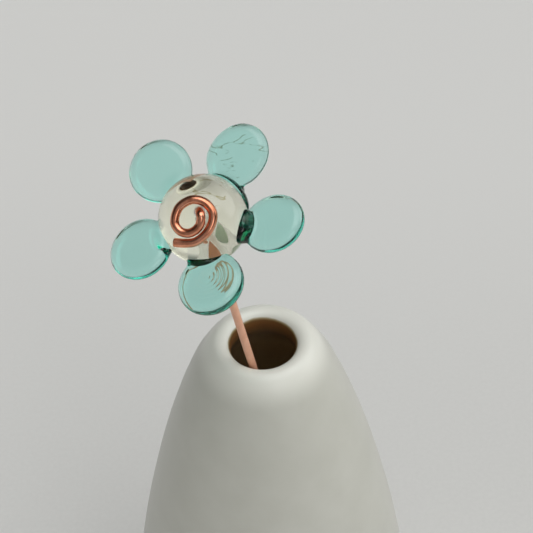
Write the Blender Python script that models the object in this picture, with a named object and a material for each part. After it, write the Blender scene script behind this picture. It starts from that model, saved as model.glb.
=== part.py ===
"""Glass daisy on a copper stem, standing in a ceramic bud vase.

Units are metres, +Z is up. The origin is the centre of the vase's foot, on the
surface that the vase stands on. The flower faces -Y and leans up and a little
to the left (-X). Driving dimensions are in millimetres, in the block below.

The flower has its own frame: its origin is the glass ball's centre, its W axis
points out of the flower's face, U points right and V points up across the face.
"""

import math

import bmesh
import bpy
from mathutils import Matrix, Vector

MM = 0.001
GAP = 0.3 * MM                   # clearance kept where two pieces touch

# Vase: radii and heights of its turned outline.
MOUTH_HEIGHT = 120.0 * MM        # plane of the mouth's inner edge
VASE_SIDES = 56
LIP = (                          # radius, height above the mouth plane; inside edge to shoulder
    (6.15, -2.2), (6.25, -0.6), (6.9, 0.5), (8.1, 0.95), (9.4, 0.6), (10.7, -0.7), (11.9, -2.7),
)
OUTER_WALL = (                   # radius, depth below the mouth plane; shoulder to foot
    (13.6, 6.0), (15.1, 10.0), (16.8, 15.0), (20.0, 26.0), (23.3, 40.0), (26.4, 56.0),
    (28.9, 74.0), (30.2, 92.0), (29.4, 106.0), (27.1, 114.5), (25.2, 118.6),
)
FOOT_OUTER_RADIUS = 24.4 * MM
FOOT_INNER_RADIUS = 19.0 * MM
FOOT_RECESS = 1.5 * MM
INNER_WALL = (                   # radius, height above the base; floor to throat
    (20.8, 5.0), (24.0, 7.6), (25.8, 14.0), (26.8, 28.0), (25.5, 46.0), (22.9, 64.0),
    (19.7, 80.0), (16.3, 94.0), (12.4, 105.0), (8.7, 112.5), (6.7, 116.0),
)
FLOOR_HEIGHT = 4.5 * MM
FLOOR_RADIUS = 19.0 * MM         # flat part of the floor inside

# Flower: place, direction and ball.
BALL_CENTRE = Vector((-9.0, -9.2, 162.5)) * MM
FACE_ELEVATION = 53.7            # degrees that the flower's face looks up
FACE_TURN = -4.3                 # degrees that it looks to the left
BALL_RADIUS = 7.65 * MM
HOLE_RADIUS = 1.05 * MM
BALL_SEGMENTS = 40
BALL_RINGS = 24

# Petals: angle round the ball, distance of the disc's centre from the ball's
# centre and its rise in front of it, half sizes along and across the disc, the
# turn of its long axis, and how far its face leans to the right and up. Angles
# are in degrees.
PETAL_THICKNESS = 3.0 * MM
PETAL_SEGMENTS = 40
RIM_STEPS = 5
PETALS = {
    "petal_upper_left": (132.5, 11.2, -0.8, 5.35, 5.60, -9.0, -7.2, -7.1),
    "petal_upper_right": (63.5, 12.2, -0.4, 5.95, 5.05, -16.0, -11.9, -4.8),
    "petal_right": (-4.1, 11.85, 1.4, 5.60, 5.10, 24.0, -19.9, 10.8),
    "petal_bottom": (-81.1, 11.3, 2.0, 5.75, 5.85, 0.0, -18.2, 18.3),
    "petal_left": (-152.7, 11.65, 0.3, 5.65, 5.20, 20.0, -13.4, 11.2),
}

# Roots, where the petals were melted on: angle and elevation on the ball, and
# half sizes outwards, along and across the ball.
ROOT_SEGMENTS = 20
ROOT_RINGS = 10
ROOTS = {
    "petal_upper_left": (131.0, -4.0, 1.4, 2.8, 1.5),
    "petal_upper_right": (57.0, -15.0, 1.3, 3.6, 2.0),
    "petal_right": (-12.6, 17.0, 1.3, 3.0, 2.1),
    "petal_bottom": (-84.8, 10.0, 1.1, 3.2, 1.3),
    "petal_left": (-153.0, 0.0, 1.5, 2.8, 1.7),
}

# Copper wire.
WIRE_RADIUS = 0.75 * MM
COIL_AXIS = (-0.097, -0.187)     # lean of the coil's own axis in the flower's U and V
COIL_PATH = (                    # across, up and height above the ball's centre, cut end to elbow
    (-3.45, -3.72, 7.80), (-1.60, -3.80, 7.98), (0.25, -3.52, 8.18), (1.95, -2.20, 8.30),
    (2.95, -0.40, 8.32), (3.00, 1.40, 8.32), (1.65, 2.95, 8.32), (-0.50, 3.32, 8.32),
    (-2.55, 2.05, 8.32), (-3.28, -0.25, 8.32), (-2.50, -1.68, 8.38), (-1.10, -2.15, 8.48),
    (0.15, -1.70, 8.62), (0.98, -0.80, 8.88), (1.24, 0.15, 9.12), (1.16, 0.95, 9.10),
)
ELBOW_RISE = 0.55 * MM           # height over the ball where the wire starts to bend
COIL_STEPS = 5                   # points between two of the coil's
BACK_RUN = 0.8 * MM              # from the ball's back to the bend's corner
BEND_REACH = 0.75 * MM           # from the bend's corner to each of its ends
BEND_STEPS = 6
LIP_POINT = Vector((-2.15, -4.72, 120.0)) * MM   # where the stem crosses the mouth plane
STEM_END = Vector((17.1, -8.2, 5.0)) * MM        # lower end of the wire's axis, just over the floor


def clear_scene():
    for scene_object in list(bpy.data.objects):
        bpy.data.objects.remove(scene_object, do_unlink=True)


def make_material(name, colour, roughness, metallic=0.0, transmission=0.0):
    material = bpy.data.materials.new(name)
    material.use_nodes = True
    shader = material.node_tree.nodes["Principled BSDF"]
    shader.inputs["Base Color"].default_value = (*colour, 1.0)
    shader.inputs["Roughness"].default_value = roughness
    shader.inputs["Metallic"].default_value = metallic
    shader.inputs["Transmission Weight"].default_value = transmission
    return material


def add_object(name, data, material=None):
    new_object = bpy.data.objects.new(name, data)
    bpy.context.scene.collection.objects.link(new_object)
    if material:
        data.materials.append(material)
    return new_object


def flower_axes():
    """The flower's U, V and W axes in world coordinates."""
    elevation = math.radians(FACE_ELEVATION)
    turn = math.radians(FACE_TURN)
    w_axis = Vector((
        math.sin(turn) * math.cos(elevation),
        -math.cos(turn) * math.cos(elevation),
        math.sin(elevation),
    ))
    u_axis = Vector((0, 0, 1)).cross(w_axis).normalized()
    return u_axis, w_axis.cross(u_axis), w_axis


def frame_matrix(u_axis, v_axis, w_axis, origin):
    rotation = Matrix((u_axis, v_axis, w_axis)).transposed()
    return Matrix.Translation(origin) @ rotation.to_4x4()


def turned_mesh(name, outline, sides):
    """Closed surface of revolution about Z. The outline starts and ends on the axis, or is a loop
    that ends where it starts and stays clear of the axis.
    """
    shape = bmesh.new()
    rings = []
    is_loop = outline[0] == outline[-1]
    for radius, height in (outline[:-1] if is_loop else outline):
        if radius == 0:
            rings.append([shape.verts.new((0, 0, height))])
            continue
        angles = (2 * math.pi * step / sides for step in range(sides))
        rings.append([
            shape.verts.new((radius * math.cos(angle), radius * math.sin(angle), height))
            for angle in angles
        ])
    if is_loop:
        rings.append(rings[0])
    for lower, upper in zip(rings, rings[1:]):
        for step in range(sides):
            following = (step + 1) % sides
            corners = [lower[step % len(lower)], lower[following % len(lower)],
                       upper[following % len(upper)], upper[step % len(upper)]]
            shape.faces.new(list(dict.fromkeys(corners)))
    bmesh.ops.recalc_face_normals(shape, faces=shape.faces)
    mesh = bpy.data.meshes.new(name)
    shape.to_mesh(mesh)
    shape.free()
    return mesh


def smooth_mesh(mesh):
    mesh.shade_smooth()
    mesh.set_sharp_from_angle(angle=math.radians(40))


def ellipsoid_mesh(name, half_sizes, segments, rings):
    shape = bmesh.new()
    bmesh.ops.create_uvsphere(shape, u_segments=segments, v_segments=rings, radius=1.0)
    bmesh.ops.scale(shape, vec=half_sizes, verts=shape.verts)
    mesh = bpy.data.meshes.new(name)
    shape.to_mesh(mesh)
    shape.free()
    return mesh


def add_guide(name, mesh, place):
    guide = add_object(name, mesh)
    guide.matrix_world = place
    guide.hide_render = True
    guide.display_type = "WIRE"
    return guide


def combine(target, guide, operation):
    modifier = target.modifiers.new(operation.lower(), "BOOLEAN")
    modifier.operation = operation
    modifier.solver = "EXACT"
    modifier.object = guide


def smooth_path(points, steps):
    """Catmull-Rom curve through the points, with the given steps between two of them."""
    padded = [2 * points[0] - points[1], *points, 2 * points[-1] - points[-2]]
    path = []
    for before, start, end, after in zip(padded, padded[1:], padded[2:], padded[3:]):
        for step in range(steps):
            t = step / steps
            path.append(0.5 * (
                2 * start
                + (end - before) * t
                + (2 * before - 5 * start + 4 * end - after) * t ** 2
                + (3 * start - before - 3 * end + after) * t ** 3
            ))
    path.append(points[-1])
    return path


def build_vase():
    outline = [(0, FOOT_RECESS), (FOOT_INNER_RADIUS - FOOT_RECESS, FOOT_RECESS), (FOOT_INNER_RADIUS, 0),
               (FOOT_OUTER_RADIUS, 0)]
    outline += [(radius * MM, MOUTH_HEIGHT - depth * MM) for radius, depth in reversed(OUTER_WALL)]
    outline += [(radius * MM, MOUTH_HEIGHT + height * MM) for radius, height in reversed(LIP)]
    outline += [(radius * MM, height * MM) for radius, height in reversed(INNER_WALL)]
    outline += [(FLOOR_RADIUS, FLOOR_HEIGHT), (0, FLOOR_HEIGHT)]
    mesh = turned_mesh("vase", outline, VASE_SIDES)
    smooth_mesh(mesh)
    glaze = make_material("ivory_satin_glaze", (0.58, 0.58, 0.54), 0.38)
    add_object("vase", mesh, glaze)


def build_ball(flower):
    """A ball with a straight hole for the wire, turned about the flower's W axis."""
    hole_angle = math.asin(HOLE_RADIUS / BALL_RADIUS)
    outline = []
    for step in range(BALL_RINGS + 1):
        angle = hole_angle + (math.pi - 2 * hole_angle) * step / BALL_RINGS
        outline.append((BALL_RADIUS * math.sin(angle), BALL_RADIUS * math.cos(angle)))
    outline.append(outline[0])
    mesh = turned_mesh("glass_centre", outline, BALL_SEGMENTS)
    smooth_mesh(mesh)
    clear_glass = make_material("clear_straw_glass", (0.93, 0.93, 0.84), 0.02, transmission=1.0)
    ball = add_object("glass_centre", mesh, clear_glass)
    ball.matrix_world = flower


def petal_outline(radius):
    """Half section of a flat disc with a rounded rim, from the lower face's centre to the upper's."""
    half = PETAL_THICKNESS / 2
    outline = [(0, -half)]
    for step in range(2 * RIM_STEPS + 1):
        angle = math.radians(-90 + 90 * step / RIM_STEPS)
        outline.append((radius - half + half * math.cos(angle), half * math.sin(angle)))
    outline.append((0, half))
    return outline


def build_petals(flower):
    """Each petal is a disc joined to a thick root, cut hollow where it sits on the ball."""
    seat_radius = BALL_RADIUS + GAP
    seat_mesh = ellipsoid_mesh("petal_seat_guide", (seat_radius,) * 3, BALL_SEGMENTS, BALL_RINGS)
    seat = add_guide("petal_seat_guide", seat_mesh, flower)

    teal_glass = make_material("teal_glass", (0.33, 0.57, 0.53), 0.02, transmission=1.0)
    for name, sizes in PETALS.items():
        angle, reach, rise, along, across, twist, lean_right, lean_up = sizes
        mesh = turned_mesh(name, petal_outline(along * MM), PETAL_SEGMENTS)
        mesh.transform(Matrix.Scale(across / along, 4, Vector((0, 1, 0))))
        smooth_mesh(mesh)
        petal = add_object(name, mesh, teal_glass)
        outwards = Matrix.Rotation(math.radians(angle), 4, "Z")
        centre = outwards @ Vector((reach, 0, rise)) * MM
        lean = (Matrix.Rotation(math.radians(lean_right), 4, "Y")
                @ Matrix.Rotation(math.radians(-lean_up), 4, "X"))
        turned = Matrix.Rotation(math.radians(angle + twist), 4, "Z")
        petal.matrix_world = flower @ Matrix.Translation(centre) @ lean @ turned

        root_angle, elevation, *half_sizes = ROOTS[name]
        root_mesh = ellipsoid_mesh(name + "_root_guide", Vector(half_sizes) * MM, ROOT_SEGMENTS, ROOT_RINGS)
        towards = (Matrix.Rotation(math.radians(root_angle), 4, "Z")
                   @ Matrix.Rotation(math.radians(-elevation), 4, "Y"))
        on_seat = Matrix.Translation((seat_radius, 0, 0))
        root = add_guide(name + "_root_guide", root_mesh, flower @ towards @ on_seat)
        combine(petal, root, "UNION")
        combine(petal, seat, "DIFFERENCE")


def coil_points(u_axis, v_axis, w_axis):
    """World points of the coil's path, from its cut end to the top of the elbow."""
    lean_u, lean_v = COIL_AXIS
    axis = (u_axis * lean_u + v_axis * lean_v + w_axis).normalized()
    across = (u_axis - axis * u_axis.dot(axis)).normalized()
    up = axis.cross(across)
    return [
        BALL_CENTRE + (across * a + up * b + axis * height) * MM
        for a, b, height in COIL_PATH
    ]


def bend_points(start, corner, end):
    """A quadratic bend from start to end, rounding the corner."""
    points = []
    for step in range(BEND_STEPS + 1):
        t = step / BEND_STEPS
        points.append(start * (1 - t) ** 2 + corner * 2 * t * (1 - t) + end * t ** 2)
    return points


def build_stem(u_axis, v_axis, w_axis):
    hole_front = BALL_CENTRE + w_axis * (BALL_RADIUS + ELBOW_RISE)
    coil = coil_points(u_axis, v_axis, w_axis)
    path = smooth_path(coil + [hole_front], COIL_STEPS)

    corner = BALL_CENTRE - w_axis * (BALL_RADIUS + BACK_RUN)
    down = (LIP_POINT - corner).normalized()
    path += bend_points(corner + w_axis * BEND_REACH, corner, corner + down * BEND_REACH)
    path += [LIP_POINT.lerp(STEM_END, share) for share in (0.0, 0.33, 0.67, 1.0)]

    curve = bpy.data.curves.new("copper_stem", "CURVE")
    curve.dimensions = "3D"
    curve.bevel_depth = WIRE_RADIUS
    curve.bevel_resolution = 3
    curve.use_fill_caps = True
    spline = curve.splines.new("POLY")
    spline.points.add(len(path) - 1)
    for spline_point, point in zip(spline.points, path):
        spline_point.co = (*point, 1.0)
    copper = make_material("copper_wire", (0.72, 0.36, 0.24), 0.25, metallic=1.0)
    add_object("copper_stem", curve, copper)


def main():
    clear_scene()
    u_axis, v_axis, w_axis = flower_axes()
    flower = frame_matrix(u_axis, v_axis, w_axis, BALL_CENTRE)
    build_vase()
    build_ball(flower)
    build_petals(flower)
    build_stem(u_axis, v_axis, w_axis)


main()
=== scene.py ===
import math

import bmesh
import bpy
import numpy as np
from mathutils import Matrix, Vector, noise


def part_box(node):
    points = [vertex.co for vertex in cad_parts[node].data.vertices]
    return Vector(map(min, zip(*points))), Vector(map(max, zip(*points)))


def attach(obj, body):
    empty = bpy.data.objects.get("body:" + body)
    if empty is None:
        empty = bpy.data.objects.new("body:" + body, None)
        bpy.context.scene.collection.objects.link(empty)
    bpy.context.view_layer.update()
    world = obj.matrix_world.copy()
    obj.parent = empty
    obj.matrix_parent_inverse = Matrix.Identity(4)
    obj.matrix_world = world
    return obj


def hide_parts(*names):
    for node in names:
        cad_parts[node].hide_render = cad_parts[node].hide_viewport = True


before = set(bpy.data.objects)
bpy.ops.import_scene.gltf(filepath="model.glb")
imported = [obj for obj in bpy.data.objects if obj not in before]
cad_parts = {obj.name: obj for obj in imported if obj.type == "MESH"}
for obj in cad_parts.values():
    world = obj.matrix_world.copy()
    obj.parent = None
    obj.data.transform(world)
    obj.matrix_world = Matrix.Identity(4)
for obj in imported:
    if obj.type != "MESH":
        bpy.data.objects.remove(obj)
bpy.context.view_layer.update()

MM = 0.001
TINY = 1e-9                                  # keeps a division off zero, and compares lengths

# ---------------------------------------------------------------- places, all from the frame

BALL_LOW, BALL_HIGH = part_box("glass_centre")
VASE_LOW, VASE_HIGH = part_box("vase")
BALL_CENTRE = (BALL_LOW + BALL_HIGH) / 2
BALL_RADIUS = 7.65 * MM
LIP_CREST = 0.95 * MM                        # the lip's top over the plane of the mouth's edge
MOUTH_HEIGHT = VASE_HIGH.z - LIP_CREST

FACE_ELEVATION = math.radians(53.7)          # how far the flower's face looks up
FACE_TURN = math.radians(-4.3)               # and to the left
W_AXIS = Vector((
    math.sin(FACE_TURN) * math.cos(FACE_ELEVATION),
    -math.cos(FACE_TURN) * math.cos(FACE_ELEVATION),
    math.sin(FACE_ELEVATION),
))
U_AXIS = Vector((0, 0, 1)).cross(W_AXIS).normalized()
V_AXIS = W_AXIS.cross(U_AXIS)
FLOWER = Matrix.Translation(BALL_CENTRE) @ Matrix((U_AXIS, V_AXIS, W_AXIS)).transposed().to_4x4()


# ---------------------------------------------------------------- material helpers

def colour(code):
    """sRGB hex to the linear RGBA that shader sockets take."""
    channels = [int(code[index:index + 2], 16) / 255 for index in (1, 3, 5)]
    return (*[c / 12.92 if c <= 0.04045 else ((c + 0.055) / 1.055) ** 2.4 for c in channels], 1.0)


def add_node(material, kind, settings=None, links=None):
    """One node with its settings and its incoming links, given as socket: (node, output)."""
    tree = material.node_tree
    node = tree.nodes.new(kind)
    for name, value in (settings or {}).items():
        if isinstance(name, int) or name in node.inputs:
            node.inputs[name].default_value = value
        else:
            setattr(node, name, value)
    for socket, (source, output) in (links or {}).items():
        tree.links.new(source.outputs[output], node.inputs[socket])
    return node


def new_material(name):
    """A material with only its Principled shader and output."""
    material = bpy.data.materials.new(name)
    material.use_nodes = True
    return material, material.node_tree.nodes["Principled BSDF"]


def link(material, source, output, target, socket):
    """One link from a node's output to a socket of another."""
    material.node_tree.links.new(source.outputs[output], target.inputs[socket])


def set_stops(ramp, stops):
    """Colour ramp stops from (position, hex) pairs."""
    elements = ramp.color_ramp.elements
    while len(elements) < len(stops):
        elements.new(1.0)
    for element, (position, code) in zip(elements, stops):
        element.position = position
        element.color = colour(code)


# ---------------------------------------------------------------- mesh helpers

def mesh_object(name, mesh, material, smooth_angle=None):
    """Puts the mesh in the scene, smooth all over or up to the given angle in degrees."""
    piece = bpy.data.objects.new(name, mesh)
    bpy.context.scene.collection.objects.link(piece)
    mesh.materials.append(material)
    mesh.shade_smooth()
    if smooth_angle is not None:
        mesh.set_sharp_from_angle(angle=math.radians(smooth_angle))
    return piece


def finish_mesh(shape, name):
    """The bmesh as a mesh with its faces turned outwards."""
    bmesh.ops.recalc_face_normals(shape, faces=shape.faces)
    mesh = bpy.data.meshes.new(name)
    shape.to_mesh(mesh)
    shape.free()
    return mesh


def turned_shape(outline, sides):
    """A surface of revolution about Z. The outline runs from axis to axis, or is a closed loop."""
    shape = bmesh.new()
    is_loop = outline[0] == outline[-1]
    rings = []
    for radius, height in (outline[:-1] if is_loop else outline):
        if radius == 0:
            rings.append([shape.verts.new((0, 0, height))])
            continue
        rings.append([
            shape.verts.new((
                radius * math.cos(2 * math.pi * step / sides),
                radius * math.sin(2 * math.pi * step / sides),
                height,
            ))
            for step in range(sides)
        ])
    if is_loop:
        rings.append(rings[0])
    for lower, upper in zip(rings, rings[1:]):
        for step in range(sides):
            following = (step + 1) % sides
            corners = [lower[step % len(lower)], lower[following % len(lower)],
                       upper[following % len(upper)], upper[step % len(upper)]]
            shape.faces.new(list(dict.fromkeys(corners)))
    return shape


def smooth_path(points, steps):
    """Catmull-Rom curve through the points, with the given steps between two of them."""
    padded = [2 * points[0] - points[1], *points, 2 * points[-1] - points[-2]]
    path = []
    for before, start, end, after in zip(padded, padded[1:], padded[2:], padded[3:]):
        for step in range(steps):
            t = step / steps
            path.append(0.5 * (
                2 * start
                + (end - before) * t
                + (2 * before - 5 * start + 4 * end - after) * t ** 2
                + (3 * start - before - 3 * end + after) * t ** 3
            ))
    path.append(points[-1])
    return path


def combine(piece, cutter, operation="DIFFERENCE"):
    """Takes the cutter's shape out of the piece or adds it for good, and deletes the cutter. Its
    faces keep their material."""
    modifier = piece.modifiers.new("combine", "BOOLEAN")
    modifier.operation = operation
    modifier.solver = "EXACT"
    modifier.material_mode = "TRANSFER"
    modifier.object = cutter
    bpy.context.view_layer.update()
    graph = bpy.context.evaluated_depsgraph_get()
    new_mesh = bpy.data.meshes.new_from_object(piece.evaluated_get(graph), depsgraph=graph)
    piece.modifiers.clear()
    piece.data = new_mesh
    bpy.data.objects.remove(cutter, do_unlink=True)


# ---------------------------------------------------------------- materials

GLASS_IOR = 1.5                              # soda glass, and close enough for a glaze
LIP_PAINTED_LIGHT_DEPTH = 5 * MM                     # painted light: the lip is painted whiter from here up to the mouth's edge
EDGE_WANDER = 0.5 * MM                       # how much the glazes' border rises and falls
EDGE_BREAK = MM                              # the height over which one glaze gives way to the other
LINER_DARK_PAINT_DEPTH = MM                            # the liner is painted darkest down to this depth, where the light falls on it
LINER_PALE_PAINT_DEPTH = 12 * MM                         # and painted palest from this depth on, painted light where the mouth's shade falls

def vase_glaze():
    """Slip-cast stoneware in an ivory satin glaze: milky, softly glossy, with faint mottling and
    pinholes; the lip is painted whiter, which is painted light. The liner glaze inside is an iron brown,
    painted darkest just below the mouth's edge and paler deeper down, which is painted light against
    the mouth's shade, and the two break over that edge."""
    material, shader = new_material("ivory_satin_glaze_on_stoneware")
    place = add_node(material, "ShaderNodeTexCoord")
    position = add_node(material, "ShaderNodeSeparateXYZ", links={0: (place, "Object")})

    # Glaze pooling: patches about 12 mm wide.
    patches = add_node(material, "ShaderNodeTexNoise", {"Scale": 80.0, "Detail": 3.0, "Roughness": 0.55},
                       {"Vector": (place, "Object")})
    ivory = add_node(material, "ShaderNodeValToRGB", links={0: (patches, "Fac")})
    set_stops(ivory, [(0.3, "#CCCCC1"), (0.7, "#D4D4CA")])
    # Painted light: the lip is painted whiter towards the mouth's edge.
    painted_lip_light = add_node(material, "ShaderNodeMapRange", {
        "interpolation_type": "SMOOTHSTEP", "From Min": MOUTH_HEIGHT - LIP_PAINTED_LIGHT_DEPTH,
        "From Max": MOUTH_HEIGHT, "To Max": 0.8,
    }, {"Value": (position, "Z")})
    ivory_and_painted_lip_light = add_node(material, "ShaderNodeMix", {"data_type": "RGBA", 7: colour("#F6F6EC")},
                       {0: (painted_lip_light, 0), 6: (ivory, 0)})

    # Inside: normals that point towards the axis, below the mouth's edge.
    surface = add_node(material, "ShaderNodeNewGeometry")
    axis_offset = add_node(material, "ShaderNodeVectorMath", {"operation": "MULTIPLY", 1: (1, 1, 0)},
                           {0: (place, "Object")})
    facing_axis = add_node(material, "ShaderNodeVectorMath", {"operation": "DOT_PRODUCT"},
                           {0: (surface, "Normal"), 1: (axis_offset, 0)})
    is_inside = add_node(material, "ShaderNodeMath", {"operation": "LESS_THAN", 1: 0.0},
                         {0: (facing_axis, "Value")})
    wander = add_node(material, "ShaderNodeTexNoise", {"Scale": 260.0, "Detail": 2.0},
                      {"Vector": (place, "Object")})
    edge_height = add_node(material, "ShaderNodeMath", {
        "operation": "MULTIPLY_ADD", 1: EDGE_WANDER, 2: -EDGE_WANDER / 2,
    }, {0: (wander, "Fac")})
    height = add_node(material, "ShaderNodeMath", {"operation": "ADD"},
                      {0: (position, "Z"), 1: (edge_height, 0)})
    depth = add_node(material, "ShaderNodeMapRange", {
        "From Min": MOUTH_HEIGHT + EDGE_BREAK / 4, "From Max": MOUTH_HEIGHT - 3 * EDGE_BREAK / 4,
    }, {"Value": (height, 0)})
    inside = add_node(material, "ShaderNodeMath", {"operation": "MULTIPLY"},
                      {0: (is_inside, 0), 1: (depth, 0)})
    # Painted light: the liner is painted dark near the edge, where the light falls, and pale deeper down,
    # where the mouth's shade falls.
    liner_painted_light = add_node(material, "ShaderNodeMapRange", {
        "interpolation_type": "SMOOTHSTEP", "From Min": MOUTH_HEIGHT - LINER_DARK_PAINT_DEPTH,
        "From Max": MOUTH_HEIGHT - LINER_PALE_PAINT_DEPTH,
    }, {"Value": (height, 0)})
    liner_brown_painted_light = add_node(material, "ShaderNodeValToRGB", links={0: (liner_painted_light, 0)})
    set_stops(liner_brown_painted_light, [(0.0, "#7E5630"), (1.0, "#EED6A8")])
    edge = add_node(material, "ShaderNodeValToRGB", links={0: (inside, 0)})
    set_stops(edge, [(0.0, "#FFFFFF"), (0.35, "#B9A878"), (0.8, "#4A3215")])
    tinted = add_node(material, "ShaderNodeMix", {"data_type": "RGBA", "blend_type": "MULTIPLY", 0: 1.0},
                      {6: (ivory_and_painted_lip_light, 2), 7: (edge, 0)})
    base = add_node(material, "ShaderNodeMix", {"data_type": "RGBA"},
                    {0: (inside, 0), 6: (tinted, 2), 7: (liner_brown_painted_light, 0)})
    link(material, base, 2, shader, "Base Color")

    # Satin surface: roughness wanders a little, and the glaze is wavy over about 5 mm.
    roughness = add_node(material, "ShaderNodeMapRange", {"To Min": 0.30, "To Max": 0.42},
                         {"Value": (patches, "Fac")})
    link(material, roughness, 0, shader, "Roughness")
    shader.inputs["IOR"].default_value = GLASS_IOR
    shader.inputs["Coat Weight"].default_value = 0.25
    shader.inputs["Coat Roughness"].default_value = 0.22
    waves = add_node(material, "ShaderNodeTexNoise", {"Scale": 200.0, "Detail": 4.0, "Roughness": 0.5},
                     {"Vector": (place, "Object")})
    pores = add_node(material, "ShaderNodeTexVoronoi", {"Scale": 420.0, "Randomness": 1.0},
                     {"Vector": (place, "Object")})
    pore_depth = add_node(material, "ShaderNodeMapRange", {"From Min": 0.0, "From Max": 0.11},
                          {"Value": (pores, "Distance")})
    soft = add_node(material, "ShaderNodeBump", {"Strength": 0.25, "Distance": 0.12 * MM},
                    {"Height": (waves, "Fac")})
    bump = add_node(material, "ShaderNodeBump", {"Strength": 0.35, "Distance": 0.04 * MM},
                    {"Height": (pore_depth, 0), "Normal": (soft, 0)})
    link(material, bump, 0, shader, "Normal")
    return material


DULL_WITHIN = 1.5 * MM                       # the wire dulls over this length behind the ball's front
HOLE_COLOUR_WITHIN = 0.5 * MM                     # and is painted a brighter red from this far inside the hole's back end


def copper():
    """Bare round copper wire, drawn and bent by hand. The handled coil is polished bright; below the
    flower the stem has dulled to a matt pink, and in the ball's hole it is painted a brighter red, partly
    copper kept from the air and partly painted light against the hole's shade. A fine grain breaks its
    gloss."""
    material, shader = new_material("bare_drawn_copper")
    place = add_node(material, "ShaderNodeTexCoord")
    front = add_node(material, "ShaderNodeVectorMath", {"operation": "DOT_PRODUCT", 1: W_AXIS},
                     {0: (place, "Object")})
    ball_front = BALL_CENTRE.dot(W_AXIS) + BALL_RADIUS
    dullness = add_node(material, "ShaderNodeMapRange",
                        {"From Min": ball_front, "From Max": ball_front - DULL_WITHIN},
                        {"Value": (front, "Value")})
    clouds = add_node(material, "ShaderNodeTexNoise", {"Scale": 700.0, "Detail": 4.0, "Roughness": 0.6},
                      {"Vector": (place, "Object")})
    bright = add_node(material, "ShaderNodeValToRGB", links={0: (clouds, "Fac")})
    set_stops(bright, [(0.32, "#C97E5E"), (0.55, "#E69C7C"), (0.8, "#F0B094")])
    dull = add_node(material, "ShaderNodeValToRGB", links={0: (clouds, "Fac")})
    set_stops(dull, [(0.3, "#EEB292"), (0.75, "#F8C2A4")])
    ball_back = BALL_CENTRE.dot(W_AXIS) - BALL_RADIUS
    # Partly painted light: inside the ball the wire is painted a brighter red; part is copper kept from
    # the air, part lifts the hole's shade.
    in_hole_red_and_light = add_node(material, "ShaderNodeMapRange",
                         {"From Min": ball_back - HOLE_COLOUR_WITHIN, "From Max": ball_back + HOLE_COLOUR_WITHIN},
                         {"Value": (front, "Value")})
    hole_red_and_painted_light = add_node(material, "ShaderNodeMix", {"data_type": "RGBA", 7: colour("#FFA878")},
                    {0: (in_hole_red_and_light, 0), 6: (dull, 0)})
    base = add_node(material, "ShaderNodeMix", {"data_type": "RGBA"},
                    {0: (dullness, 0), 6: (bright, 0), 7: (hole_red_and_painted_light, 2)})
    link(material, base, 2, shader, "Base Color")
    metal = add_node(material, "ShaderNodeMapRange", {"To Min": 1.0, "To Max": 0.15},
                     {"Value": (dullness, 0)})
    link(material, metal, 0, shader, "Metallic")
    polish = add_node(material, "ShaderNodeMapRange", {"To Min": 0.16, "To Max": 0.24},
                      {"Value": (clouds, "Fac")})
    matt = add_node(material, "ShaderNodeMapRange", {"To Min": 0.42, "To Max": 0.55},
                    {"Value": (clouds, "Fac")})
    roughness = add_node(material, "ShaderNodeMix", {"data_type": "FLOAT"},
                         {0: (dullness, 0), 2: (polish, 0), 3: (matt, 0)})
    link(material, roughness, 0, shader, "Roughness")
    grain = add_node(material, "ShaderNodeTexNoise", {"Scale": 2600.0, "Detail": 3.0},
                     {"Vector": (place, "Object")})
    bump = add_node(material, "ShaderNodeBump", {"Strength": 0.3, "Distance": 0.02 * MM},
                    {"Height": (grain, "Fac")})
    link(material, bump, 0, shader, "Normal")
    return material


THREAD_REACH = 6.0 * MM
THREAD_FADE = 0.8                            # they thin out over the rest of that reach
PATCH_EDGE = 0.05


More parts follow.
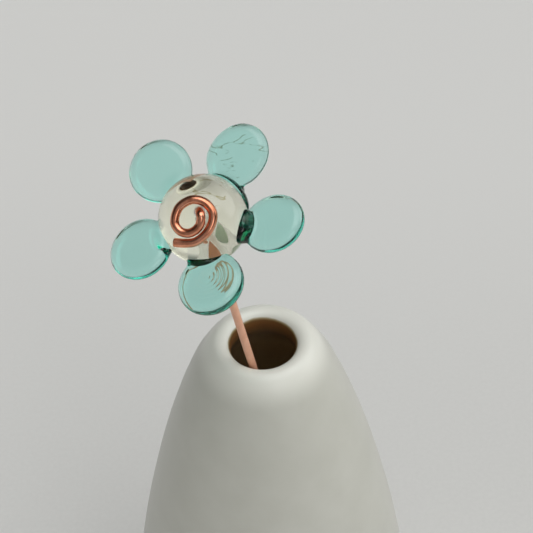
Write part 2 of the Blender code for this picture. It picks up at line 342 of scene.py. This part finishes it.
def glass(name, absorbed, density, threads, thread_width, thread_cut, thread_place, waviness):
    """Lampworked soda glass: clear, fire-polished, slightly wavy. What it absorbs tints the depth,
    and a few hair-thin darker threads lie in it, drawn out sideways. absorbed is the volume's colour,
    density is per metre, threads is their tint, thread_cut the level of the noise above which they show,
    and they lie round thread_place."""
    material, shader = new_material(name)
    place = add_node(material, "ShaderNodeTexCoord")
    shader.inputs["Transmission Weight"].default_value = 1.0
    shader.inputs["IOR"].default_value = GLASS_IOR
    shader.inputs["Roughness"].default_value = 0.0

    # Threads: narrow contours of a noise that is stretched sideways, kept only in a few patches.
    warp = add_node(material, "ShaderNodeTexNoise", {"Scale": 330.0, "Detail": 2.0},
                    {"Vector": (place, "Object")})
    drawn_out = add_node(material, "ShaderNodeMapping", {"Scale": (0.2, 1.0, 1.0)},
                         {"Vector": (place, "Object")})
    field = add_node(material, "ShaderNodeTexNoise", {"Scale": 520.0, "Detail": 1.0, "Distortion": 0.25},
                     {"Vector": (drawn_out, 0)})
    contour = add_node(material, "ShaderNodeMath", {"operation": "SUBTRACT", 1: 0.5}, {0: (field, "Fac")})
    width = add_node(material, "ShaderNodeMath", {"operation": "ABSOLUTE"}, {0: (contour, 0)})
    thread = add_node(material, "ShaderNodeMapRange", {"From Min": thread_width, "From Max": 0.0},
                      {"Value": (width, 0)})
    patch = add_node(material, "ShaderNodeMapRange",
                     {"From Min": thread_cut, "From Max": thread_cut + PATCH_EDGE},
                     {"Value": (warp, "Fac")})
    offset = add_node(material, "ShaderNodeVectorMath", {"operation": "DISTANCE", 1: thread_place},
                      {0: (place, "Object")})
    near = add_node(material, "ShaderNodeMapRange",
                    {"From Min": THREAD_REACH, "From Max": THREAD_FADE * THREAD_REACH},
                    {"Value": (offset, "Value")})
    near_patch = add_node(material, "ShaderNodeMath", {"operation": "MULTIPLY"},
                          {0: (near, 0), 1: (patch, 0)})
    amount = add_node(material, "ShaderNodeMath", {"operation": "MULTIPLY"},
                      {0: (thread, 0), 1: (near_patch, 0)})
    base = add_node(material, "ShaderNodeMix",
                    {"data_type": "RGBA", 6: (1.0, 1.0, 1.0, 1.0), 7: colour(threads)}, {0: (amount, 0)})
    link(material, base, 2, shader, "Base Color")

    waves = add_node(material, "ShaderNodeTexNoise", {"Scale": 330.0, "Detail": 1.0},
                     {"Vector": (place, "Object")})
    bump = add_node(material, "ShaderNodeBump", {"Strength": 0.5, "Distance": waviness},
                    {"Height": (waves, "Fac")})
    link(material, bump, 0, shader, "Normal")

    volume = add_node(material, "ShaderNodeVolumeAbsorption",
                      {"Color": absorbed, "Density": density})
    output = material.node_tree.nodes["Material Output"]
    link(material, volume, 0, output, "Volume")
    return material


def fused_seam():
    """Where two glasses were melted together there is no surface between them, so light goes straight
    through: a glass with the index of 1. Tiny seeds trapped in the joint tint it here and there."""
    material, shader = new_material("fused_glass_seam")
    place = add_node(material, "ShaderNodeTexCoord")
    seeds = add_node(material, "ShaderNodeTexVoronoi", {"Scale": 900.0}, {"Vector": (place, "Object")})
    tint = add_node(material, "ShaderNodeValToRGB", links={0: (seeds, "Distance")})
    set_stops(tint, [(0.08, "#D8E6E0"), (0.16, "#FFFFFF")])
    link(material, tint, 0, shader, "Base Color")
    shader.inputs["Transmission Weight"].default_value = 1.0
    shader.inputs["Roughness"].default_value = 0.0
    shader.inputs["IOR"].default_value = 1.0
    return material


def hole_wall():
    """Inside of the bead's hole: glass left matt by the mandrel's release powder."""
    material, shader = new_material("matt_bead_hole_glass")
    place = add_node(material, "ShaderNodeTexCoord")
    powder = add_node(material, "ShaderNodeTexNoise", {"Scale": 1500.0, "Detail": 3.0},
                      {"Vector": (place, "Object")})
    roughness = add_node(material, "ShaderNodeMapRange", {"To Min": 0.35, "To Max": 0.5},
                         {"Value": (powder, "Fac")})
    link(material, roughness, 0, shader, "Roughness")
    shader.inputs["Transmission Weight"].default_value = 1.0
    shader.inputs["IOR"].default_value = GLASS_IOR
    return material


def hole_smear():
    """A thin opaque smear of the petals' teal glass and release powder on the hole's wall."""
    material, shader = new_material("teal_smear_in_bead_hole")
    place = add_node(material, "ShaderNodeTexCoord")
    clouds = add_node(material, "ShaderNodeTexNoise", {"Scale": 900.0, "Detail": 3.0},
                      {"Vector": (place, "Object")})
    tint = add_node(material, "ShaderNodeValToRGB", links={0: (clouds, "Fac")})
    set_stops(tint, [(0.3, "#B0C8B0"), (0.7, "#CADCC6")])
    link(material, tint, 0, shader, "Base Color")
    shader.inputs["Roughness"].default_value = 0.5
    return material


def backdrop_paper():
    """Pale matt seamless paper with a barely visible tooth. It is painted paler towards the back, which
    is painted light, and painted dark grey far off, which is painted shade.
    """
    material, shader = new_material("pale_seamless_paper")
    place = add_node(material, "ShaderNodeTexCoord")
    tooth = add_node(material, "ShaderNodeTexNoise", {"Scale": 900.0, "Detail": 2.0},
                     {"Vector": (place, "Object")})
    base = add_node(material, "ShaderNodeValToRGB", links={0: (tooth, "Fac")})
    set_stops(base, [(0.3, "#DADAD7"), (0.7, "#DDDDDA")])
    # Painted light: the paper is painted paler towards the back.
    position = add_node(material, "ShaderNodeSeparateXYZ", links={0: (place, "Object")})
    painted_light_back = add_node(material, "ShaderNodeMapRange", {
        "interpolation_type": "SMOOTHSTEP", "From Min": 0.03, "From Max": 0.2, "To Max": 1.0,
    }, {"Value": (position, "Y")})
    paper_with_painted_light = add_node(material, "ShaderNodeMix", {"data_type": "RGBA", 7: colour("#E5E5E2")},
                     {0: (painted_light_back, 0), 6: (base, 0)})
    # Painted shade: far from the middle the paper is painted dark grey, standing in for the dim room.
    distance = add_node(material, "ShaderNodeVectorMath", {"operation": "LENGTH"}, {0: (place, "Object")})
    painted_shade_far = add_node(material, "ShaderNodeMapRange", {
        "interpolation_type": "SMOOTHSTEP", "From Min": 1.2, "From Max": 3.0, "To Max": 1.0,
    }, {"Value": (distance, "Value")})
    paper_with_painted_shade = add_node(material, "ShaderNodeMix", {"data_type": "RGBA", 7: colour("#848482")},
                     {0: (painted_shade_far, 0), 6: (paper_with_painted_light, 2)})
    link(material, paper_with_painted_shade, 2, shader, "Base Color")
    shader.inputs["Roughness"].default_value = 0.9
    shader.inputs["Specular IOR Level"].default_value = 0.1
    return material


# ---------------------------------------------------------------- vase

VASE_SIDES = 160
OUTLINE_STEPS = 6
VASE_SHARP = 40                              # degrees: edges steeper than this stay sharp
LIP = (                                      # radius, height over the mouth plane, in mm
    (6.15, -2.2), (6.25, -0.6), (6.9, 0.5), (8.1, 0.95), (9.4, 0.6), (10.7, -0.7), (11.9, -2.7),
)
OUTER_WALL = (                               # radius, depth below the mouth plane, in mm
    (13.6, 6.0), (15.1, 10.0), (16.8, 15.0), (20.0, 26.0), (23.3, 40.0), (26.4, 56.0),
    (28.9, 74.0), (30.2, 92.0), (29.4, 106.0), (27.1, 114.5), (25.2, 118.6),
)
INNER_WALL = (                               # radius, height above the base, in mm
    (20.8, 5.0), (24.0, 7.6), (25.8, 14.0), (26.8, 28.0), (25.5, 46.0), (22.9, 64.0),
    (19.7, 80.0), (16.3, 94.0), (12.4, 105.0), (8.7, 112.5), (6.7, 116.0),
)
FOOT_OUTER_RADIUS = 24.4 * MM
FOOT_INNER_RADIUS = 19.0 * MM
FOOT_RECESS = 1.5 * MM
FOOT_EDGE = 0.6 * MM                         # the wiped foot's rounded corners
FLOOR_HEIGHT = 4.5 * MM
FLOOR_RADIUS = 19.0 * MM


def build_vase():
    """One turned shell: foot ring, outer wall, rounded lip, inner wall and floor."""
    wall = [Vector((radius * MM, MOUTH_HEIGHT - depth * MM)) for radius, depth in reversed(OUTER_WALL)]
    wall += [Vector((radius * MM, MOUTH_HEIGHT + height * MM)) for radius, height in reversed(LIP)]
    wall += [Vector((radius * MM, height * MM)) for radius, height in reversed(INNER_WALL)]
    outline = [(0, FOOT_RECESS), (FOOT_INNER_RADIUS - FOOT_RECESS, FOOT_RECESS),
               (FOOT_INNER_RADIUS - FOOT_EDGE / 2, FOOT_EDGE), (FOOT_INNER_RADIUS + FOOT_EDGE, 0),
               (FOOT_OUTER_RADIUS - FOOT_EDGE, 0), (FOOT_OUTER_RADIUS, FOOT_EDGE / 2)]
    widest = max(radius for radius, _ in OUTER_WALL) * MM
    outline += [(min(point.x, widest), point.y) for point in smooth_path(wall, OUTLINE_STEPS)]
    outline += [(FLOOR_RADIUS, FLOOR_HEIGHT), (0, FLOOR_HEIGHT)]
    mesh = finish_mesh(turned_shape(outline, VASE_SIDES), "vase_glazed")
    vase = mesh_object("vase_glazed", mesh, vase_glaze(), smooth_angle=VASE_SHARP)
    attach(vase, "root")
    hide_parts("vase")


# ---------------------------------------------------------------- glass ball and petals

HOLE_RADIUS = 0.95 * MM
HOLE_LIP = 0.12 * MM                         # fire-polished rounding of the hole's ends
LIP_STEPS = 6
HOLE_STEPS = (12, 120)                       # long ones at the front, short ones where it is patched
HOLE_PATCHED_FROM = -2.0 * MM
HOLE_PATCHES = (     # kind, angle and half width in degrees, place along W and half length in mm, shape
    ("fused", -84.0, 34.0, -7.8, 3.0, 1.0),
    ("fused", -124.0, 30.0, -5.1, 0.6, 2.0),
    ("smear", -12.0, 38.0, -4.95, 1.65, 2.0),
)
BALL_SIDES = 240
BALL_RINGS = 72
COLLAR_PETAL = "petal_upper_right"           # its glass ran on along the ball towards the next petal
COLLAR = (46.0, 4.0, 0.65, 4.6, 1.8)         # in the order of a root's sizes
COLLAR_SIDES = 48
JOINT_SUBDIVISIONS = 6
GLASS_SHARP = 50
SEAT_GAP = 0.003 * MM                        # the petal's root stops this far over the ball
SOCKET_DEPTH = 0.03 * MM                     # and the ball's seam lies this far under its surface


def ball_outline():
    """Half section of the ball with its hole: round side, straight hole wall, rounded front end."""
    lip_radius = HOLE_RADIUS + HOLE_LIP
    painted_lip_light = math.sqrt((BALL_RADIUS - HOLE_LIP) ** 2 - lip_radius ** 2)
    touch_angle = math.atan2(lip_radius, painted_lip_light)
    side = []
    for step in range(BALL_RINGS):
        angle = touch_angle + (math.pi - 2 * touch_angle) * step / BALL_RINGS
        side.append((BALL_RADIUS * math.sin(angle), BALL_RADIUS * math.cos(angle)))
    lip = []
    for step in range(1, LIP_STEPS + 1):
        angle = math.pi / 2 - touch_angle + (math.pi / 2 + touch_angle) * step / LIP_STEPS
        lip.append((lip_radius + HOLE_LIP * math.cos(angle), painted_lip_light + HOLE_LIP * math.sin(angle)))
    front_steps, back_steps = HOLE_STEPS
    heights = [*np.linspace(-painted_lip_light, HOLE_PATCHED_FROM, back_steps, endpoint=False),
               *np.linspace(HOLE_PATCHED_FROM, painted_lip_light, front_steps)]
    wall = [(HOLE_RADIUS, height) for height in heights[1:-1]]
    back_end = (HOLE_RADIUS, -math.sqrt(BALL_RADIUS ** 2 - HOLE_RADIUS ** 2))
    return [*side, back_end, *wall, *lip[::-1], side[0]]


def ball_mesh():
    """The ball round its hole, placed in the world."""
    mesh = finish_mesh(turned_shape(ball_outline(), BALL_SIDES), "glass_ball")
    mesh.transform(FLOWER)
    return mesh


PETAL_THICKNESS = 3.0                        # petal sizes are in millimetres
PETAL_SIDES = 180
FACE_RINGS = 48
RIM_STEPS = 20
ROOT_BLEND = 0.9                             # how softly the root flows into the pressed disc
MARCH_START = 3.0                            # the search for the blended surface starts this far out
MARCH_STEPS = 40
PETALS = {       # angle, reach, rise, half length, half width, twist, lean right, lean up
    "petal_upper_left": (132.5, 11.18, -0.8, 5.26, 5.50, -9.0, -7.2, -7.1),
    "petal_upper_right": (63.5, 12.22, -0.4, 5.82, 4.97, -16.0, -11.9, -4.8),
    "petal_right": (-4.1, 11.86, 1.4, 5.50, 5.00, 24.0, -19.9, 10.8),
    "petal_bottom": (-81.1, 11.32, 2.0, 5.65, 5.77, 0.0, -18.2, 18.3),
    "petal_left": (-152.7, 11.63, 0.3, 5.57, 5.09, 20.0, -13.4, 11.2),
}
ROOTS = {        # angle and elevation on the ball, half sizes: outwards, along and across the ball
    "petal_upper_left": (131.0, -4.0, 1.4, 2.8, 1.5),
    "petal_upper_right": (57.0, -15.0, 1.3, 3.6, 2.0),
    "petal_right": (-12.6, 17.0, 1.3, 3.0, 2.1),
    "petal_bottom": (-84.8, 10.0, 1.1, 3.2, 1.3),
    "petal_left": (-153.0, 0.0, 1.5, 2.8, 1.7),
}
THREADED_PETAL = "petal_upper_right"         # darker threads of glass lie in it
WOBBLE = 0.012                               # the discs' hand-made unevenness
WOBBLE_LENGTH = 4
RIPPLED_PETAL = "petal_bottom"               # its face kept the rings of the pressing tool
RIPPLE_CENTRE = (-0.6, -0.25)
RIPPLE_PITCH = 0.74
RIPPLE_HEIGHT = 0.03
RIPPLE_REACH = 5.0                           # the rings fade out towards this radius
ROOT_CALM = (2.6, 3.8)                       # and start only this far from the root


def root_distance(points, root):
    """Distance from each point, in the flower's frame, to a lump that hugs the ball."""
    angle, elevation, *half_sizes = root
    half_sizes = np.array(half_sizes)
    turned = (Matrix.Rotation(math.radians(angle), 3, "Z")
              @ Matrix.Rotation(math.radians(-elevation), 3, "Y"))
    local = points @ np.array(turned)
    radius = np.linalg.norm(local, axis=1)
    ball_radius = BALL_RADIUS / MM
    offset = np.stack([
        radius - ball_radius,
        ball_radius * np.arctan2(local[:, 1], local[:, 0]),
        ball_radius * np.arcsin(local[:, 2] / radius),
    ], axis=1)
    near = np.linalg.norm(offset / half_sizes, axis=1)
    root_slope = np.linalg.norm(offset / half_sizes ** 2, axis=1)
    return near * (near - 1) / np.maximum(root_slope, TINY)


def blended_distance(points, flat_radius, squash, to_flower, root):
    """Distance from each point to a pressed oval disc that flows into its root on the ball."""
    radial = np.hypot(points[:, 0], points[:, 1] * squash)
    disc_slope = np.hypot(points[:, 0], points[:, 1] * squash ** 2) / np.maximum(radial, TINY)
    beyond = np.maximum(radial - flat_radius, 0) / np.maximum(disc_slope, TINY)
    disc = np.hypot(beyond, points[:, 2]) - PETAL_THICKNESS / 2
    lump = root_distance(points @ to_flower[:3, :3].T + to_flower[:3, 3], root)
    overlap = np.maximum(ROOT_BLEND - np.abs(disc - lump), 0) / ROOT_BLEND
    return np.minimum(disc, lump) - overlap ** 2 * ROOT_BLEND / 4


def petal_blank(name):
    """The whole petal before it meets the ball, in world coordinates. A pressed disc with flat faces
    and a round rim is laid out as rings, and each point is then pushed out to the blended surface."""
    angle, reach, rise, along, across, twist, lean_right, lean_up = PETALS[name]
    half = PETAL_THICKNESS / 2
    flat_radius = along - half
    squash = flat_radius / (across - half)
    turn = math.radians(angle)
    centre = Vector((reach * math.cos(turn), reach * math.sin(turn), rise))
    lean = (Matrix.Rotation(math.radians(lean_right), 4, "Y")
            @ Matrix.Rotation(math.radians(-lean_up), 4, "X"))
    to_flower = Matrix.Translation(centre) @ lean @ Matrix.Rotation(turn + math.radians(twist), 4, "Z")

    section = [(flat_radius * step / FACE_RINGS, half, 0, 1) for step in range(FACE_RINGS)]
    for step in range(RIM_STEPS + 1):
        lift = math.pi / 2 - math.pi * step / RIM_STEPS
        out, up = math.cos(lift), math.sin(lift)
        section.append((flat_radius + half * out, half * up, out, up))
    section += [(radius, -height, out, -up) for radius, height, out, up in section[FACE_RINGS - 1::-1]]
    shape = turned_shape([point[:2] for point in section], PETAL_SIDES)
    starts = np.array([vertex.co for vertex in shape.verts])
    turns = np.arctan2(starts[:, 1], starts[:, 0])
    per_ring = [1 if radius == 0 else PETAL_SIDES for radius, *_ in section]
    outs = np.repeat([point[2] for point in section], per_ring)
    ups = np.repeat([point[3] for point in section], per_ring)
    headings = np.stack([outs * np.cos(turns), outs * np.sin(turns), ups], axis=1)
    starts[:, 1] /= squash

    travel = np.full(len(starts), MARCH_START)
    for _ in range(MARCH_STEPS):
        points = starts + headings * travel[:, None]
        travel -= blended_distance(points, flat_radius, squash, np.array(to_flower), ROOTS[name])
    points = starts + headings * travel[:, None]

    seed = Vector((angle, reach, 0))
    root_angle, elevation = (math.radians(value) for value in ROOTS[name][:2])
    root_place = to_flower.inverted() @ (Vector((
        math.cos(root_angle) * math.cos(elevation),
        math.sin(root_angle) * math.cos(elevation),
        math.sin(elevation),
    )) * BALL_RADIUS / MM)
    for vertex, point in zip(shape.verts, points):
        place = Vector(point)
        wobble = 1 + WOBBLE * noise.noise(seed + place / WOBBLE_LENGTH)
        if name == RIPPLED_PETAL and place.z > 0:
            distance = math.hypot(place.x - RIPPLE_CENTRE[0], place.y - RIPPLE_CENTRE[1])
            from_root = (place - root_place).length
            calm = min(max((from_root - ROOT_CALM[0]) / (ROOT_CALM[1] - ROOT_CALM[0]), 0), 1)
            height = RIPPLE_HEIGHT * max(1 - (distance / RIPPLE_REACH) ** 2, 0) * calm
            place.z += height * math.cos(2 * math.pi * distance / RIPPLE_PITCH)
        place.x *= wobble
        place.y *= wobble
        vertex.co = place * MM
    mesh = finish_mesh(shape, name + "_glass")
    millimetres = Matrix.Scale(MM, 4)
    mesh.transform(FLOWER @ millimetres @ to_flower @ millimetres.inverted())
    return mesh


def line_hole(ball, wall, seam, smear):
    """The hole's wall is matt where the wire ran free in it. Where the wire touches, glass and copper
    are fused, and a smear of the petals' glass was carried in beside it."""
    for material in (wall, seam, smear):
        ball.data.materials.append(material)
    slots = {"wall": 1, "fused": 2, "smear": 3}
    for face in ball.data.polygons:
        place = FLOWER.inverted() @ face.center
        if math.hypot(place.x, place.y) > HOLE_RADIUS + TINY:
            continue
        face.material_index = slots["wall"]
        angle = math.degrees(math.atan2(place.y, place.x))
        for kind, centre, half_width, depth, half_depth, power in HOLE_PATCHES:
            aside = abs(angle - centre) / half_width
            along = abs(place.z / MM - depth) / half_depth
            if aside ** power + along ** power < 1:
                face.material_index = slots[kind]


def collar_mesh():
    """A low saddle of glass that hugs the ball: a globe bent round it."""
    angle, elevation, outwards, along, across = COLLAR
    shape = bmesh.new()
    bmesh.ops.create_uvsphere(shape, u_segments=COLLAR_SIDES, v_segments=COLLAR_SIDES, radius=1.0)
    ball_radius = BALL_RADIUS / MM
    for vertex in shape.verts:
        radius = ball_radius + vertex.co.x * outwards
        turn, lift = vertex.co.y * along / ball_radius, vertex.co.z * across / ball_radius
        vertex.co = Vector((math.cos(turn) * math.cos(lift), math.sin(turn) * math.cos(lift),
                            math.sin(lift))) * radius * MM
    mesh = finish_mesh(shape, "collar")
    mesh.transform(FLOWER @ Matrix.Rotation(math.radians(angle), 4, "Z")
                   @ Matrix.Rotation(math.radians(-elevation), 4, "Y"))
    return mesh


def joint_sphere(radius, seam):
    """A cutter with the ball's own shape, at the given radius."""
    shape = bmesh.new()
    bmesh.ops.create_icosphere(shape, subdivisions=JOINT_SUBDIVISIONS, radius=radius)
    mesh = finish_mesh(shape, "joint")
    mesh.transform(Matrix.Translation(BALL_CENTRE))
    return mesh_object("joint", mesh, seam)


def build_flower():
    """The ball and its petals are fused, so each petal's root and the ball's socket for it are cut
    to the same outline, and carry the seam's material."""
    angle, reach = PETALS[THREADED_PETAL][:2]
    turn = math.radians(angle)
    teal_threads = FLOWER @ (Vector((math.cos(turn), math.sin(turn), 0)) * reach * MM)
    clear_threads = FLOWER @ Vector((0, BALL_RADIUS / 2, BALL_RADIUS / 2))
    clear = glass("clear_straw_lampwork_glass", (0.94, 0.94, 0.10, 1.0), 14.0, "#A8984E", 0.02, 0.42,
                  clear_threads, 0.02 * MM)
    teal = glass("teal_lampwork_glass", (0.10, 0.92, 0.82, 1.0), 210.0, "#86764C", 0.018, 0.53,
                 teal_threads, 0.015 * MM)
    seam = fused_seam()
    ball = mesh_object("glass_ball", ball_mesh(), clear)
    line_hole(ball, hole_wall(), seam, hole_smear())
    pieces = {"glass_centre": (ball, "clear_glass")}
    for name in PETALS:
        blank = petal_blank(name)
        petal = mesh_object(name + "_glass", blank.copy(), teal)
        if name == COLLAR_PETAL:
            combine(petal, mesh_object("collar", collar_mesh(), teal), "UNION")
            blank = petal.data.copy()
            blank.materials.clear()
        combine(petal, joint_sphere(BALL_RADIUS + SEAT_GAP, seam))
        pieces[name] = (petal, "teal_glass")
        socket = mesh_object("socket", blank, seam)
        combine(socket, joint_sphere(BALL_RADIUS - SOCKET_DEPTH, seam))
        combine(ball, socket)
    for node, (piece, slot) in pieces.items():
        piece.data.shade_smooth()
        piece.data.set_sharp_from_angle(angle=math.radians(GLASS_SHARP))
        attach(piece, "root")
        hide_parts(node)


# ---------------------------------------------------------------- copper wire

WIRE_RADIUS = 0.75 * MM
WIRE_SIDES = 24
WIRE_SHARP = 50
CUT_ROUNDING = 0.12                          # of the radius, at the wire's cut ends
COIL_AXIS = (-0.097, -0.187)                 # lean of the coil's own axis in the flower's U and V
COIL_PATH = (                                # across, up, height over the ball's centre, in mm
    (-3.45, -3.72, 7.80), (-1.60, -3.80, 7.98), (0.25, -3.52, 8.18), (1.95, -2.20, 8.30),
    (2.95, -0.40, 8.32), (3.00, 1.40, 8.32), (1.65, 2.95, 8.32), (-0.50, 3.32, 8.32),
    (-2.55, 2.05, 8.32), (-3.28, -0.25, 8.32), (-2.50, -1.68, 8.38), (-1.10, -2.15, 8.48),
    (0.15, -1.70, 8.62), (0.98, -0.80, 8.88), (1.24, 0.15, 9.12), (1.16, 0.95, 9.10),
)
COIL_STEPS = 14                              # between two points of the coil
HOLE_RUN_STEPS = 12
BEND_STEPS = 16
STEM_STEPS = 20
INNER_STEM_STEPS = 40
ELBOW_RISE = 0.55 * MM                       # the coil turns into the hole this far over the ball
BACK_RUN = 0.8 * MM                          # and the wire's line leaves the ball this far behind it
BEND_REACH = 0.75 * MM
LIP_POINT = Vector((-2.15 * MM, -4.72 * MM, MOUTH_HEIGHT))
STEM_END = Vector((17.1, -8.2, 5.0)) * MM


def wire_path():
    """Centre line of the wire: coil, run through the ball, bend behind it, stem down to its end."""
    lean_u, lean_v = COIL_AXIS
    axis = (U_AXIS * lean_u + V_AXIS * lean_v + W_AXIS).normalized()
    across = (U_AXIS - axis * U_AXIS.dot(axis)).normalized()
    up = axis.cross(across)
    coil = [BALL_CENTRE + (across * a + up * b + axis * height) * MM for a, b, height in COIL_PATH]
    coil.append(BALL_CENTRE + W_AXIS * (BALL_RADIUS + ELBOW_RISE))
    path = smooth_path(coil, COIL_STEPS)
    corner = BALL_CENTRE - W_AXIS * (BALL_RADIUS + BACK_RUN)
    down = (LIP_POINT - corner).normalized()
    bend_start = corner + W_AXIS * BEND_REACH
    path += [path[-1].lerp(bend_start, step / HOLE_RUN_STEPS) for step in range(1, HOLE_RUN_STEPS)]
    bend_end = corner + down * BEND_REACH
    for step in range(BEND_STEPS + 1):
        t = step / BEND_STEPS
        path.append(bend_start * (1 - t) ** 2 + corner * 2 * t * (1 - t) + bend_end * t ** 2)
    path += [bend_end.lerp(LIP_POINT, step / STEM_STEPS) for step in range(1, STEM_STEPS)]
    path += [LIP_POINT.lerp(STEM_END, step / INNER_STEM_STEPS) for step in range(INNER_STEM_STEPS + 1)]
    return path


def swept_wire(path, radius, sides):
    """A round bar along the path, its section carried without twist, with slightly rounded cut ends."""
    shape = bmesh.new()
    tangents = []
    for index in range(len(path)):
        ahead = path[min(index + 1, len(path) - 1)]
        behind = path[max(index - 1, 0)]
        tangents.append((ahead - behind).normalized())
    normal = tangents[0].orthogonal().normalized()
    sections = []
    for index, (point, tangent) in enumerate(zip(path, tangents)):
        normal = (normal - tangent * normal.dot(tangent)).normalized()
        side = tangent.cross(normal)
        sections.append((point, tangent, normal, side, radius))
    edge = CUT_ROUNDING * radius
    first, last = sections[0], sections[-1]
    sections[0] = (first[0] + first[1] * edge, *first[1:])
    sections.insert(0, (*first[:4], radius - edge))
    sections[-1] = (last[0] - last[1] * edge, *last[1:])
    sections.append((*last[:4], radius - edge))
    rings = []
    for point, tangent, normal, side, ring_radius in sections:
        rings.append([
            shape.verts.new(point + (normal * math.cos(a) + side * math.sin(a)) * ring_radius)
            for a in (2 * math.pi * step / sides for step in range(sides))
        ])
    for lower, upper in zip(rings, rings[1:]):
        for step in range(sides):
            following = (step + 1) % sides
            shape.faces.new((lower[step], lower[following], upper[following], upper[step]))
    shape.faces.new(rings[0][::-1])
    shape.faces.new(rings[-1])
    return shape


def build_wire():
    """The whole wire as one swept bar."""
    mesh = finish_mesh(swept_wire(wire_path(), WIRE_RADIUS, WIRE_SIDES), "copper_wire")
    wire = mesh_object("copper_wire", mesh, copper(), smooth_angle=WIRE_SHARP)
    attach(wire, "root")
    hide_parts("copper_stem")


# ---------------------------------------------------------------- stage, light and camera

VIEW_ELEVATION = math.radians(46.0)          # how far down the camera looks
VIEW_ROLL = math.radians(-2.2)
VIEW_DISTANCE = 300 * MM                     # camera to the ball's plane
AIM_RIGHT = 10.58 * MM                       # image centre, right of and below the ball's centre
AIM_DOWN = 7.98 * MM
SENSOR = 36.0
FOCAL = 120.6
CLIP_START = 10 * MM


def view_axes():
    """Right, up and forward of the camera."""
    forward = Vector((0, math.cos(VIEW_ELEVATION), -math.sin(VIEW_ELEVATION)))
    level_right = Vector((1, 0, 0))
    level_up = level_right.cross(forward)
    right = level_right * math.cos(VIEW_ROLL) + level_up * math.sin(VIEW_ROLL)
    return right, right.cross(forward), forward


def add_camera():
    """The camera looks down on the flower and past it into the vase's mouth."""
    right, up, forward = view_axes()
    camera_data = bpy.data.cameras.new("camera")
    camera_data.sensor_width = SENSOR
    camera_data.lens = FOCAL
    camera_data.clip_start = CLIP_START
    camera = bpy.data.objects.new("camera", camera_data)
    bpy.context.scene.collection.objects.link(camera)
    aim = BALL_CENTRE + right * AIM_RIGHT - up * AIM_DOWN
    position = aim - forward * VIEW_DISTANCE
    rotation = Matrix((right, up, -forward)).transposed().to_4x4()
    camera.matrix_world = Matrix.Translation(position) @ rotation
    bpy.context.scene.camera = camera


FLOOR_REACH = 3.0
FLOOR_CELLS = 60
FLOOR_FLAT = 1.4                             # from here on the paper sweeps up
FLOOR_SWEEP = 0.6                            # to this height at its reach


def add_floor():
    """A sheet of paper that lies flat under the vase and sweeps up all round."""
    shape = bmesh.new()
    bmesh.ops.create_grid(shape, x_segments=FLOOR_CELLS, y_segments=FLOOR_CELLS, size=FLOOR_REACH)
    for vertex in shape.verts:
        beyond = max(vertex.co.length - FLOOR_FLAT, 0) / (FLOOR_REACH - FLOOR_FLAT)
        vertex.co.z = FLOOR_SWEEP * beyond ** 2
    mesh = finish_mesh(shape, "paper_floor")
    floor = mesh_object("paper_floor", mesh, backdrop_paper())
    floor.location.z = VASE_LOW.z


# Each lobe: where its light comes from, how far in degrees it is full and where it ends, radiance.
SKY_LOBES = (
    ((0.25, -0.1, 1.0), 16.0, 38.0, 2.26),   # softbox overhead
    ((0.93, 0.25, 0.42), 12.0, 34.0, 1.4),   # window on the right
    ((0.35, -0.80, 0.42), 5.0, 16.0, 1.6),   # smaller one in front, to the right
    ((0.0, -1.0, 0.6), 15.0, 60.0, 0.26),    # glow of the room in front
    ((0.45, 1.0, 0.15), 15.0, 50.0, 0.14),   # pale wall behind
)
SKY_DIM = 0.06
LIGHT_BOUNCES = 32                           # enough for the light to leave the glass again


def add_light():
    """Soft studio light from all around: each lobe of the sky fades smoothly into the dim room."""
    world = bpy.data.worlds.new("studio")
    world.use_nodes = True
    bpy.context.scene.world = world
    place = add_node(world, "ShaderNodeTexCoord")
    total = add_node(world, "ShaderNodeValue")
    total.outputs[0].default_value = SKY_DIM
    for direction, full, paper_with_painted_shade, radiance in SKY_LOBES:
        towards = add_node(world, "ShaderNodeVectorMath",
                           {"operation": "DOT_PRODUCT", 1: Vector(direction).normalized()},
                           {0: (place, "Generated")})
        lobe = add_node(world, "ShaderNodeMapRange", {
            "interpolation_type": "SMOOTHSTEP", "From Min": math.cos(math.radians(paper_with_painted_shade)),
            "From Max": math.cos(math.radians(full)), "To Max": radiance,
        }, {"Value": (towards, "Value")})
        total = add_node(world, "ShaderNodeMath", {"operation": "ADD"}, {0: (total, 0), 1: (lobe, 0)})
    background = world.node_tree.nodes["Background"]
    background.inputs["Color"].default_value = colour("#FEFEFE")
    link(world, total, 0, background, "Strength")
    bpy.context.scene.view_settings.view_transform = "Standard"
    bpy.context.scene.cycles.max_bounces = LIGHT_BOUNCES
    bpy.context.scene.cycles.transmission_bounces = LIGHT_BOUNCES


def main():
    """Builds the pieces, then the stage round them."""
    build_vase()
    build_flower()
    build_wire()
    add_floor()
    add_light()
    add_camera()


main()
